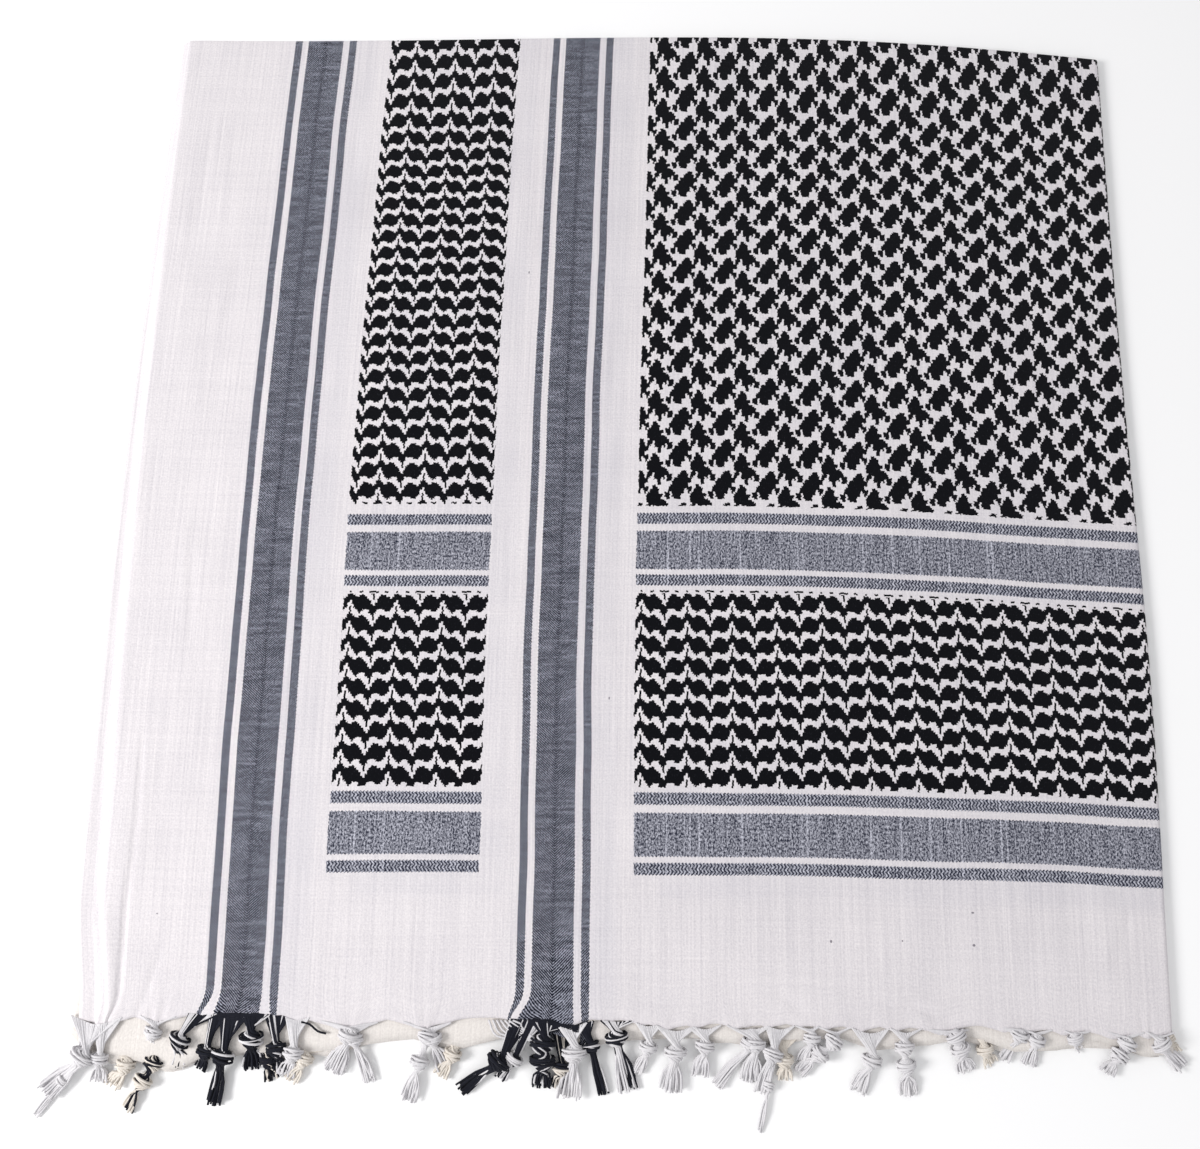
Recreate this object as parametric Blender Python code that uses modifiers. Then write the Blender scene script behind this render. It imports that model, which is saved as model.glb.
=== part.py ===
"""Keffiyeh headscarf: a woven square folded twice into a quarter and laid flat.

Metres, +Z up, +Y from the fringed hem to the top fold. The underside rests on z = 0.
"""

from math import cos, pi, sin

import bmesh
import bpy

MM = 0.001

# Driving dimensions, in millimetres.
QUARTER = 535.0  # side of the folded quarter, half the side of the whole square
WALL = 1.2  # thickness of the front layer
LAYER = 1.3  # thickness of each of the three layers under it
LAP = 0.05  # how deep each of those layers sinks into the one below
GAP = 0.3  # air between neighbouring pieces
EDGE_ROUND = 0.3  # rounding of the hidden layers' edges
UNDER_FRINGE = 1.6  # thickness of the fringe of the layers below
FRONT_REACH = 40.0  # how far the front tassels reach past the hem
UNDER_REACH = 48.0  # how far the tassels of the layers below reach past the hem
CORNER_REACH = 12.0  # how far the corner bunch reaches past the selvedge

# The cloth isn't quite square as it lies.
SELVEDGE_BOW = 5.2  # the selvedge side bows outward at mid height
HEM_ARCH = 2.2  # the hem rises this much between its ends
TOP_ARCH = 10.1  # and the top fold this much
ARCH_SKEW = 1.6  # above 1 puts the arch's crest right of the middle
TOP_SPREAD = 3.0  # the right fold leans out this much at the top
HEM_PULL = 7.0  # and in this much at the hem

# The selvedge edge of the front drops off the stack of layers below.
DROP_WIDTH = 12.0
DROP_LOW = 0.35  # underside of the selvedge above the surface
CORNER_LIFT = 1.55  # the layer that peeks out at the corner lifts it
LIFT_ENDS = 120.0
LIFT_FULL = 60.0

STACK = 3 * LAYER - 2 * LAP
FRONT_UNDER = STACK + GAP
FRONT_MID = FRONT_UNDER + WALL / 2
FOLD_RADIUS = (FRONT_MID - WALL / 2) / 2
FOLD_OUT = FOLD_RADIUS + WALL / 2
FOLD_RINGS = 6
REACH = QUARTER - FOLD_OUT  # where the front starts to turn down

EDGE_COLUMNS = (0.0, 4.0, 8.0, 12.0, 17.0)
PLAIN_COLUMNS = 23
ROWS = 24
OUTLINE_STEPS = 12

# Hidden layers: distances in from the selvedge and past the hem, lowest first.
LAYERS = (
    {"name": "a_right", "inset": 5.0, "past_hem": 10.0, "peek": 10.0},
    {"name": "b_right", "inset": 9.0, "past_hem": 12.0, "peek": 0.0},
    {"name": "b_left", "inset": 13.0, "past_hem": 11.0, "peek": 0.0},
)
PEEK_FULL = 20.0
PEEK_ENDS = 60.0

# Soft ridges in the front: middle, half length along and half width across, in mm.
RIDGES = (
    {"u": 20.0, "v": 75.0, "along": 80.0, "across": 12.0, "lean": 0.10, "height": 0.8},
    {"u": 380.0, "v": 12.0, "along": 24.0, "across": 60.0, "lean": 0.0, "height": 0.6},
    {"u": 505.0, "v": 45.0, "along": 70.0, "across": 14.0, "lean": -0.15, "height": 0.5},
    {"u": 250.0, "v": 330.0, "along": 20.0, "across": 190.0, "lean": 0.0, "height": 0.5},
    {"u": 210.0, "v": 150.0, "along": 110.0, "across": 30.0, "lean": 0.05, "height": 0.4},
)

RIDGE_FADE = 40.0  # the ridges die out over this distance from the folds

# Section of the front fringe: how far past the hem, and its underside's height.
FRINGE_SECTION = (
    {"past": GAP, "under": FRONT_UNDER},
    {"past": 7.0, "under": FRONT_UNDER},
    {"past": 14.0, "under": FRONT_UNDER},
    {"past": 21.0, "under": UNDER_FRINGE + 2 * GAP},
    {"past": 30.0, "under": UNDER_FRINGE + GAP},
    {"past": FRONT_REACH, "under": UNDER_FRINGE + GAP},
)
FRINGE_COLUMNS = 20
FRINGE_SPACING = 1.3  # above 1 sets the columns closer near the selvedge
FRINGE_END = 2.0  # how far the front fringe stops short of each end of the hem

# The under fringe's edge waves in and out.
WAVES = 5
WAVE_DEPTH = 4.0


def ease(t):
    t = min(max(t, 0.0), 1.0)
    return t * t * (3 - 2 * t)


def laid(u, v, z):
    """The place of a point of the quarter: u from the selvedge, v from the hem, z up."""
    across = min(max(u / QUARTER, 0.0), 1.0)
    up = min(max(v / QUARTER, 0.0), 1.0)
    bow = SELVEDGE_BOW * sin(pi * up) * (1 - across)
    spread = across * (TOP_SPREAD - (TOP_SPREAD + HEM_PULL) * (1 - up))
    arch = (HEM_ARCH + (TOP_ARCH - HEM_ARCH) * up) * sin(pi * across**ARCH_SKEW)
    return ((u - bow + spread) * MM, (v + arch) * MM, z * MM)


def relief(u, v):
    """Height of the soft ridges, fading out towards the two folds."""
    total = 0.0
    for ridge in RIDGES:
        rise = v - ridge["v"]
        side = u - ridge["u"] - ridge["lean"] * rise
        near = (rise / ridge["along"]) ** 2 + (side / ridge["across"]) ** 2
        if near < 1:
            total += ridge["height"] * (1 - near) ** 2
    return total * ease((REACH - u) / RIDGE_FADE) * ease((REACH - v) / RIDGE_FADE)


def front_under(u, v):
    """Height of the front's underside, which drops beside the selvedge."""
    low = DROP_LOW + CORNER_LIFT * ease((LIFT_ENDS - v) / (LIFT_ENDS - LIFT_FULL))
    return low + (FRONT_UNDER - low) * ease(u / DROP_WIDTH) + relief(u, v)


def material(name, color, roughness):
    made = bpy.data.materials.new(name)
    made.use_nodes = True
    shader = made.node_tree.nodes["Principled BSDF"]
    shader.inputs["Base Color"].default_value = (*color, 1.0)
    shader.inputs["Roughness"].default_value = roughness
    shader.inputs["Metallic"].default_value = 0.0
    return made


def new_object(name, mesh, look):
    mesh.materials.append(look)
    mesh.shade_smooth()
    mesh.set_sharp_from_angle(angle=0.6)
    made = bpy.data.objects.new(name, mesh)
    collection.objects.link(made)
    made.parent = origin
    return made


def grid_mesh(name, columns, rows, place):
    """An open sheet with a vertex at place(column, row) for each column and row."""
    bm = bmesh.new()
    bmesh.ops.create_grid(bm, x_segments=columns - 1, y_segments=rows - 1, size=1.0)
    for vert in bm.verts:
        column = round((vert.co.x + 1) / 2 * (columns - 1))
        row = round((vert.co.y + 1) / 2 * (rows - 1))
        vert.co = place(column, row)
    mesh = bpy.data.meshes.new(name)
    bm.to_mesh(mesh)
    bm.free()
    return mesh


def solidify(thing, thickness):
    shell = thing.modifiers.new("Wall", "SOLIDIFY")
    shell.thickness = thickness * MM
    shell.offset = 0.0


def turn_down(mesh, top_row, right_column):
    """Rolls the sheet's top and right borders down and under by half a turn."""
    bm = bmesh.new()
    bm.from_mesh(mesh)
    bm.verts.ensure_lookup_table()
    border = [
        edge
        for edge in bm.edges
        if edge.is_boundary
        and (
            all(vert.index in top_row for vert in edge.verts)
            or all(vert.index in right_column for vert in edge.verts)
        )
    ]
    start = {vert: vert.co.copy() for edge in border for vert in edge.verts}
    on_top = {vert for vert in start if vert.index in top_row}
    on_right = {vert for vert in start if vert.index in right_column}
    for ring in range(1, FOLD_RINGS + 1):
        angle = pi * ring / FOLD_RINGS
        out = FOLD_RADIUS * sin(angle) * MM
        down = FOLD_RADIUS * (1 - cos(angle)) * MM
        made = bmesh.ops.extrude_edge_only(bm, edges=border)["geom"]
        edges = [item for item in made if isinstance(item, bmesh.types.BMEdge)]
        verts = [item for item in made if isinstance(item, bmesh.types.BMVert)]
        before = {vert.co.copy().freeze(): vert for vert in start}
        came_from = {vert: before[vert.co.copy().freeze()] for vert in verts}
        start = {vert: start[old] for vert, old in came_from.items()}
        on_top = {vert for vert, old in came_from.items() if old in on_top}
        on_right = {vert for vert, old in came_from.items() if old in on_right}
        for vert, first in start.items():
            shift_x = out if vert in on_right else 0.0
            shift_y = out if vert in on_top else 0.0
            vert.co = (first.x + shift_x, first.y + shift_y, first.z - down)
        border = [edge for edge in edges if all(vert in start for vert in edge.verts)]
    bmesh.ops.recalc_face_normals(bm, faces=bm.faces)
    bm.to_mesh(mesh)
    bm.free()


def cloth_front():
    """The visible quarter, rolled down round the folds at its top and right."""
    plain = (REACH - EDGE_COLUMNS[-1]) / (PLAIN_COLUMNS - 1)
    stations = EDGE_COLUMNS[:-1] + tuple(
        EDGE_COLUMNS[-1] + plain * step for step in range(PLAIN_COLUMNS)
    )
    columns = len(stations)

    def place(column, row):
        u = stations[column]
        v = REACH * row / (ROWS - 1)
        return laid(u, v, front_under(u, v) + WALL / 2)

    mesh = grid_mesh("cloth_front", columns, ROWS, place)
    first_high = sum(u < DROP_WIDTH for u in stations)
    top_row = set(range((ROWS - 1) * columns + first_high, ROWS * columns))
    right_column = set(range(columns - 1, ROWS * columns, columns))
    turn_down(mesh, top_row, right_column)
    front = new_object("cloth_front", mesh, white_cotton)
    solidify(front, WALL)


def layer_outline(layer):
    """A hidden layer's outline, counterclockwise from the selvedge end of its hem."""
    right = REACH - GAP
    top = REACH - GAP
    bottom = -layer["past_hem"]
    points = []
    for step in range(1, OUTLINE_STEPS + 1):
        u = layer["inset"] + (right - layer["inset"]) * step / OUTLINE_STEPS
        points.append(laid(u, bottom, 0.0))
    for step in range(1, OUTLINE_STEPS + 1):
        points.append(laid(right, bottom + (top - bottom) * step / OUTLINE_STEPS, 0.0))
    for step in range(1, OUTLINE_STEPS + 1):
        u = right - (right - layer["inset"]) * step / OUTLINE_STEPS
        points.append(laid(u, top, 0.0))
    for step in range(1, 2 * OUTLINE_STEPS + 1):
        v = top + (bottom - top) * step / (2 * OUTLINE_STEPS)
        peek = layer["peek"] * ease((PEEK_ENDS - v) / (PEEK_ENDS - PEEK_FULL))
        points.append(laid(layer["inset"] - peek, v, 0.0))
    return points


def slab_mesh(name, points, under, thickness, rounding):
    """A flat slab of the outline given, with rounded edges, as one closed mesh."""
    curve = bpy.data.curves.new(name, "CURVE")
    curve.dimensions = "2D"
    curve.fill_mode = "BOTH"
    curve.extrude = (thickness / 2 - rounding) * MM
    curve.bevel_depth = rounding * MM
    curve.offset = -rounding * MM
    curve.bevel_resolution = 1
    spline = curve.splines.new("POLY")
    spline.points.add(len(points) - 1)
    for point, place in zip(spline.points, points):
        point.co = (place[0], place[1], 0.0, 1.0)
    spline.use_cyclic_u = True
    outline = bpy.data.objects.new(name, curve)
    collection.objects.link(outline)
    graph = bpy.context.evaluated_depsgraph_get()
    mesh = bpy.data.meshes.new_from_object(outline.evaluated_get(graph))
    bpy.data.objects.remove(outline)
    bm = bmesh.new()
    bm.from_mesh(mesh)
    bmesh.ops.remove_doubles(bm, verts=bm.verts, dist=0.00001)
    bmesh.ops.translate(bm, verts=bm.verts, vec=(0, 0, (under + thickness / 2) * MM))
    bmesh.ops.recalc_face_normals(bm, faces=bm.faces)
    bm.to_mesh(mesh)
    bm.free()
    mesh.name = name
    return mesh


def cloth_folded():
    """The three layers under the front, joined into one solid and stepped at the edges."""
    base = None
    for level, layer in enumerate(LAYERS):
        under = level * (LAYER - LAP)
        mesh = slab_mesh(layer["name"], layer_outline(layer), under, LAYER, EDGE_ROUND)
        if base is None:
            base = new_object("cloth_folded", mesh, white_cotton_shade)
            continue
        cutter = bpy.data.objects.new(layer["name"], mesh)
        cutters.objects.link(cutter)
        cutter.hide_render = True
        cutter.display_type = "WIRE"
        cutter.parent = origin
        joined = base.modifiers.new(layer["name"], "BOOLEAN")
        joined.operation = "UNION"
        joined.object = cutter


def fringe_front():
    """The reach of the front hem's tassels, which lie over the longer hem below."""

    def place(column, row):
        section = FRINGE_SECTION[row]
        along = (column / (FRINGE_COLUMNS - 1)) ** FRINGE_SPACING
        u = FRINGE_END + (REACH - 2 * FRINGE_END) * along
        under = min(section["under"], front_under(u, 0.0))
        return laid(u, -section["past"], max(under, UNDER_FRINGE + GAP) + WALL / 2)

    mesh = grid_mesh("fringe_front", FRINGE_COLUMNS, len(FRINGE_SECTION), place)
    trim = new_object("fringe_front", mesh, cream_cotton)
    solidify(trim, WALL)


def fringe_under():
    """The reach of the tassels of the layers below, with the bunch at the corner."""
    hem = max(layer["past_hem"] for layer in LAYERS) + 2 * GAP
    right = REACH - GAP
    points = [laid(-CORNER_REACH, -UNDER_REACH, 0.0)]
    for step in range(1, OUTLINE_STEPS + 1):
        u = -CORNER_REACH + (right + CORNER_REACH) * step / OUTLINE_STEPS
        wave = WAVE_DEPTH * sin(pi * WAVES * step / OUTLINE_STEPS) ** 2
        points.append(laid(u, -UNDER_REACH + wave, 0.0))
    for step in range(OUTLINE_STEPS + 1):
        u = right - (right + CORNER_REACH / 2) * step / OUTLINE_STEPS
        points.append(laid(u, -hem, 0.0))
    points.append(laid(-CORNER_REACH, -(hem + UNDER_REACH) / 2, 0.0))
    mesh = slab_mesh("fringe_under", points, 0.0, UNDER_FRINGE, EDGE_ROUND)
    new_object("fringe_under", mesh, cream_cotton)


def stand_on_origin():
    """Moves everything so that the origin is the middle of the underside."""
    bpy.context.view_layer.update()
    graph = bpy.context.evaluated_depsgraph_get()
    corners = []
    for thing in collection.objects:
        if thing.type == "MESH":
            shown = thing.evaluated_get(graph)
            mesh = shown.to_mesh()
            corners += [shown.matrix_world @ vert.co for vert in mesh.vertices]
            shown.to_mesh_clear()
    middle = [
        (min(corner[axis] for corner in corners) + max(corner[axis] for corner in corners)) / 2
        for axis in (0, 1)
    ]
    low = min(corner[2] for corner in corners)
    origin.location = (-middle[0], -middle[1], -low)


for leftover in list(bpy.data.objects):
    bpy.data.objects.remove(leftover)

collection = bpy.data.collections.new("keffiyeh")
cutters = bpy.data.collections.new("cutters")
bpy.context.scene.collection.children.link(collection)
bpy.context.scene.collection.children.link(cutters)
cutters.hide_render = True
origin = bpy.data.objects.new("keffiyeh_origin", None)
collection.objects.link(origin)

white_cotton = material("white_cotton", (0.80, 0.79, 0.81), 0.9)
white_cotton_shade = material("white_cotton_shade", (0.74, 0.73, 0.74), 0.9)
cream_cotton = material("cream_cotton", (0.82, 0.77, 0.66), 0.9)

cloth_front()
cloth_folded()
fringe_front()
fringe_under()
stand_on_origin()
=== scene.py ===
import random
from math import cos, hypot, pi, radians, sin

import bpy
import numpy as np
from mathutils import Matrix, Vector, noise

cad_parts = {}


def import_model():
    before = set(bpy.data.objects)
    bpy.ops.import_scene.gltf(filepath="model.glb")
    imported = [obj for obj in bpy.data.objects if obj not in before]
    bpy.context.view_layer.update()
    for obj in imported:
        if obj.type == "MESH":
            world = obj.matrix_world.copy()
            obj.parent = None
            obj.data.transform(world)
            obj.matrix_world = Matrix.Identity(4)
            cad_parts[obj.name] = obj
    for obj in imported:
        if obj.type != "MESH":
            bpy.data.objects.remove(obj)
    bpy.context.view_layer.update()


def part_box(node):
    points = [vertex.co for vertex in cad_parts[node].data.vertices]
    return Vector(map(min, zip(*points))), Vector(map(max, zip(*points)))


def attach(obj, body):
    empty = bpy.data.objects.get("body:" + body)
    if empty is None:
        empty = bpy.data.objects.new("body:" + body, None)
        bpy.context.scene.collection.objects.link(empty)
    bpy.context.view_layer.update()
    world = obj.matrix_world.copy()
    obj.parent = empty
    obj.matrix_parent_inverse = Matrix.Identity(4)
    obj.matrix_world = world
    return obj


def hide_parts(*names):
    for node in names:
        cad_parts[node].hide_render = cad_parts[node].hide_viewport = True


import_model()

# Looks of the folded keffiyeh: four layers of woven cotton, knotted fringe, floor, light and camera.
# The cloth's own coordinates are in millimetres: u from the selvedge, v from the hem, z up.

MM = 0.001

# ---------------------------------------------------------------- the cloth as it lies

QUARTER = 535.0  # side of the folded quarter
SELVEDGE_BOW = 5.2  # the selvedge side bows outward at mid height
HEM_ARCH = 2.2  # the hem rises this much between its ends
TOP_ARCH = 10.1  # and the top fold this much
ARCH_SKEW = 1.6  # above 1 puts the arch's crest right of the middle
TOP_SPREAD = 3.0  # the right fold leans out this much at the top
HEM_PULL = 7.0  # and in this much at the hem
RIGHT_BULGE = 3.2  # the fold bellies out this much beside the lower bands
RIGHT_BULGE_AT = 170.0
CORNER_PULL = 5.0  # the corner's knot draws the selvedge in

CLOTH = 0.5  # thickness of the cotton
FRONT_LEVEL = 4.95  # height of the middle of the front layer
SECOND_LEVEL = 3.35
THIRD_LEVEL = 1.75
LOWEST_LEVEL = 0.27
FOLD_STEPS = 9
TUCK = 12.0  # how far a layer runs on under itself past a fold

FRONT_LOW, FRONT_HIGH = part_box("cloth_front")
SHIFT_X = FRONT_HIGH.x / MM - (QUARTER + TOP_SPREAD)
SHIFT_Y = FRONT_LOW.y / MM


def ease(t):
    t = np.clip(t, 0.0, 1.0)
    return t * t * (3 - 2 * t)


def laid(u, v):
    """Where a point of the flat quarter lies, in millimetres from the selvedge end of the hem."""
    across = np.clip(u / QUARTER, 0.0, 1.0)
    up = np.clip(v / QUARTER, 0.0, 1.0)
    bow = SELVEDGE_BOW * np.sin(pi * up) * (1 - across)
    spread = across * (TOP_SPREAD - (TOP_SPREAD + HEM_PULL) * (1 - up))
    arch = (HEM_ARCH + (TOP_ARCH - HEM_ARCH) * up) * np.sin(pi * across**ARCH_SKEW)
    bulge = RIGHT_BULGE * np.exp(-(((v - RIGHT_BULGE_AT) / 120.0) ** 2)) * across**8
    pulled_in = CORNER_PULL * (1 - ease(v / 52.0)) * (1 - ease(u / 40.0))
    return u - bow + spread + bulge + pulled_in, v + arch


def world(x, y, z):
    return ((x + SHIFT_X) * MM, (y + SHIFT_Y) * MM, z * MM)


# ---------------------------------------------------------------- fringe, hems and creases

# Every tassel along the hem: where it hangs, the stretch of hem that it gathers, how far down and
# aside its knot lies, how long its tail is and how far aside it ends, the width of the brush, its
# threads, its size, and its number of knots. Millimetres.
TASSEL_KEYS = ("at", "gather", "drop", "aside", "tail", "lean", "wide", "look", "size", "knots")
FRONT_TASSELS = (
    (14, 26, 20, -4, 16, -16, 10, "white", 2.2, 1),
    (10, 8, 22, -2, 24, -18, 3, "white", 0.4, 2),
    (20, 14, 21, -2, 10, 0, 9, "white", 1.0, 1),
    (44, 18, 9, -2, 8, -3, 7, "white", 1.0, 1),
    (66, 16, 12, -11, 12, 0, 8, "mixed", 1.6, 1),
    (72, 8, 17, -4, 8, -3, 6, "black", 1.2, 1),
    (80, 14, 19, -4, 21, -3, 7, "black", 1.8, 1),
    (90, 14, 11, -1, 13, 2, 11, "black", 2.0, 1),
    (100, 12, 15, 1, 11, 2, 6, "black", 1.3, 1),
    (110, 12, 17, -1, 10, -3, 8, "white", 1.4, 1),
    (135, 28, 9, 0, 16, -7, 10, "white", 1.6, 1),
    (138, 12, 11, 0, 18, 7, 6, "white", 0.8, 1),
    (172, 24, 9, 0, 28, -8, 8, "white", 1.2, 2),
    (176, 14, 10, -1, 12, 6, 9, "white", 1.0, 1),
    (218, 14, 19, -12, 13, -17, 6, "black", 2.0, 1),
    (224, 10, 18, -11, 9, -6, 6, "mixed", 1.2, 1),
    (230, 20, 11, -3, 19, 0, 9, "black", 2.2, 2),
    (240, 16, 15, 2, 20, -2, 12, "white", 2.0, 1),
    (247, 8, 12, 3, 21, 6, 5, "black", 0.9, 1),
    (262, 16, 8, 0, 23, 6, 10, "mixed", 1.7, 1),
    (277, 12, 12, 0, 11, -5, 5, "white", 1.0, 1),
    (290, 20, 14, 0, 17, -2, 11, "white", 1.6, 1),
    (304, 16, 11, 0, 13, -2, 8, "white", 1.2, 1),
    (322, 16, 10, 3, 18, -15, 6, "white", 1.0, 1),
    (328, 14, 10, 0, 17, -2, 10, "white", 1.3, 1),
    (340, 14, 14, -4, 17, -5, 8, "white", 1.4, 1),
    (338, 4, 16, -1, 32, -7, 1, "white", 0.3, 2),
    (353, 12, 7, 2, 10, -4, 6, "white", 0.9, 1),
    (366, 16, 8, -1, 14, -16, 6, "white", 1.2, 2),
    (383, 18, 16, 0, 14, -6, 8, "white", 1.3, 1),
    (400, 16, 10, -1, 21, 2, 9, "white", 1.2, 2),
    (420, 20, 5, 4, 15, 5, 10, "white", 1.3, 2),
    (452, 12, 4, 2, 11, -7, 6, "white", 1.0, 1),
    (463, 14, 6, -1, 11, -3, 8, "white", 1.0, 1),
    (482, 14, 5, -1, 4, 4, 6, "white", 0.8, 1),
    (505, 18, 7, 0, 13, -9, 7, "white", 1.2, 2),
    (522, 14, 7, 0, 10, 10, 8, "white", 1.3, 1),
)

# Tassels of the layers below that show between them.
UNDER_TASSELS = (
    (30, 20, 24, 0, 9, -6, 8, "white", 1.2, 1),
    (48, 12, 23, -5, 20, -11, 6, "mixed", 1.2, 2),
    (97, 10, 21, 0, 8, 2, 7, "black", 0.9, 1),
    (116, 14, 20, -2, 9, -6, 7, "white", 1.1, 1),
    (188, 12, 17, -4, 9, -5, 7, "white", 1.0, 1),
    (236, 10, 22, 0, 8, -2, 7, "black", 1.0, 1),
    (342, 14, 17, 0, 8, 0, 8, "white", 1.1, 1),
    (438, 12, 11, 0, 6, 3, 7, "white", 0.9, 1),
    (526, 10, 5, 0, 5, 5, 5, "white", 0.8, 1),
)

HEM_SLACK = 1.0  # the front's hem hangs this far where nothing pulls it
HEM_DIP = 0.24  # each tassel pulls it down by this share of what it gathers
DARK_DIP = 0.3  # the stripes' tassels hang looser and pull this much less
UNDER_DROP = 8.0  # how far the hem of the layers below shows, and at the corner more
CORNER_DROP = 14.0
CORNER_SIZE = 130.0

STEP_LOW, STEP_HIGH = 13.5, 4.0  # the hidden layers' edge, in from the selvedge, at hem and top

# Creases in the front: two ends, half width and height, negative for a trough.
CREASES = (
    {"ends": ((25, 140), (25, 50)), "half": 1.1, "height": -0.6},
    {"ends": ((25, 75), (20, -15)), "half": 1.1, "height": -1.0},
    {"ends": ((8, 65), (16, -15)), "half": 1.2, "height": -1.2},
    {"ends": ((14, 60), (18, -12)), "half": 1.8, "height": 0.4},
    {"ends": ((45, 35), (30, -10)), "half": 1.6, "height": -0.4},
    {"ends": ((40, 240), (45, 170)), "half": 1.8, "height": -0.2},
    {"ends": ((35, 250), (40, 175)), "half": 2.0, "height": 0.15},
    {"ends": ((50, 470), (45, 330)), "half": 2.6, "height": -0.15},
    {"ends": ((25, 500), (20, 380)), "half": 2.2, "height": -0.15},
    {"ends": ((-5, 320), (120, 318)), "half": 1.5, "height": -0.25},
    {"ends": ((115, 318), (300, 312)), "half": 1.5, "height": -0.2},
    {"ends": ((295, 312), (535, 305)), "half": 1.6, "height": -0.12},
    {"ends": ((340, 15), (360, 3)), "half": 1.4, "height": -0.6},
    {"ends": ((390, 10), (440, 5)), "half": 1.5, "height": -0.6},
    {"ends": ((385, 15), (435, 10)), "half": 2.4, "height": 0.4},
    {"ends": ((520, 60), (505, 20)), "half": 1.6, "height": -0.4},
    {"ends": ((514, 60), (500, 25)), "half": 2.6, "height": 0.25},
    {"ends": ((110, 520), (105, 420)), "half": 2.4, "height": -0.16},
    {"ends": ((205, 300), (208, 170)), "half": 2.0, "height": -0.12},
    {"ends": ((262, 420), (258, 60)), "half": 3.0, "height": -0.12},
    {"ends": ((140, 40), (150, 12)), "half": 2.2, "height": 0.2},
    {"ends": ((520, 300), (517, 120)), "half": 3.0, "height": 0.16},
    {"ends": ((528, 480), (524, 330)), "half": 2.4, "height": -0.14},
)

# Broad soft swells, as in the solid: middle, half length along and half width across.
SWELLS = (
    {"u": 20.0, "v": 75.0, "along": 80.0, "across": 14.0, "lean": 0.10, "height": 0.4},
    {"u": 380.0, "v": 12.0, "along": 24.0, "across": 60.0, "lean": 0.0, "height": 0.6},
    {"u": 505.0, "v": 45.0, "along": 70.0, "across": 14.0, "lean": -0.15, "height": 0.5},
    {"u": 250.0, "v": 330.0, "along": 20.0, "across": 190.0, "lean": 0.0, "height": 0.4},
    {"u": 210.0, "v": 150.0, "along": 110.0, "across": 30.0, "lean": 0.05, "height": 0.4},
)

GATHER_DEPTH = 16.0  # how far up from the hem a tassel pulls the cloth
GATHER_PULL = 0.35  # how much of the way to the knot the cloth's edge is pulled
PUCKER = 0.28  # height of the small folds above a knot

# The selvedge side drops off the hidden layers over a step, and the lowest one lifts it at the corner.
STEP_OUT = 6.0  # the step starts this far outside the hidden layers' edge
STEP_WIDTH = 8.0
CORNER_LIFT = 1.3
LIFT_ENDS = 120.0
LIFT_FULL = 60.0
RELIEF_FADE = 40.0  # the relief weakens this near to the folds
BROAD_WAVES = {"seed": 3.1, "size": 46.0, "height": 0.28}
SMALL_WAVES = {"seed": 7.7, "size": 17.0, "height": 0.14}


def front_hem(u):
    """How far the front's edge lies from the straight hem."""
    dip = np.zeros_like(u)
    for row in FRONT_TASSELS:
        tassel = dict(zip(TASSEL_KEYS, row))
        gather = tassel["gather"]
        pull = HEM_DIP * gather * (1.0 if tassel["look"] == "white" else DARK_DIP)
        dip = np.maximum(dip, pull * np.exp(-(((u - tassel["at"]) / (0.55 * gather)) ** 2)))
    return -HEM_SLACK - dip


def under_hem(u):
    """The same for the layers below."""
    corner = CORNER_DROP * np.exp(-((u / CORNER_SIZE) ** 2)) * ease((u + 2.0) / 24.0)
    return -UNDER_DROP - corner + 2.5 * np.sin(u / 11.0) + 1.5 * np.sin(u / 5.3 + 1.0)


def step_line(v):
    """How far in from the selvedge the hidden layers' edge lies."""
    return STEP_LOW + (STEP_HIGH - STEP_LOW) * v / QUARTER


def crease_relief(u, v):
    total = np.zeros_like(u)
    for crease in CREASES:
        (u0, v0), (u1, v1) = crease["ends"]
        length = hypot(u1 - u0, v1 - v0)
        along_u, along_v = (u1 - u0) / length, (v1 - v0) / length
        along = (u - u0) * along_u + (v - v0) * along_v
        side = (u - u0) * along_v - (v - v0) * along_u
        side = side + length * 0.012 * np.sin(pi * along / length)
        fade = ease(along / (0.3 * length)) * ease((length - along) / (0.3 * length))
        total += crease["height"] * fade * np.exp(-((side / crease["half"]) ** 2))
    return total


def swell_relief(u, v):
    total = np.zeros_like(u)
    for swell in SWELLS:
        rise = v - swell["v"]
        side = u - swell["u"] - swell["lean"] * rise
        near = (rise / swell["along"]) ** 2 + (side / swell["across"]) ** 2
        total += swell["height"] * np.clip(1 - near, 0, 1) ** 2
    return total


def waves(u, v, seed, size, height):
    """Smooth uneven height over the cloth."""
    flat = [
        noise.noise(Vector((a / size, b / size, seed))) for a, b in zip(u.ravel(), v.ravel())
    ]
    return height * np.array(flat).reshape(u.shape)


def gathers(u, v, tassels):
    """Sideways pull and pucker of the cloth just above the knots."""
    pull = np.zeros_like(u)
    pucker = np.zeros_like(u)
    near_hem = 1 - ease(v / GATHER_DEPTH)
    for row in tassels:
        tassel = dict(zip(TASSEL_KEYS, row))
        middle, half = tassel["at"], tassel["gather"] / 2
        if half < 4:
            continue
        inside = np.clip(1 - np.abs((u - middle) / half) ** 4, 0, 1)
        knot = middle + tassel["aside"]
        pull += (knot - u) * GATHER_PULL * inside * near_hem**2 * (np.abs(u - middle) < half)
        fold = np.cos((u - middle) / half * pi * 2.5 + middle)
        pucker += PUCKER * fold * inside * near_hem
    return pull, pucker


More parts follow.
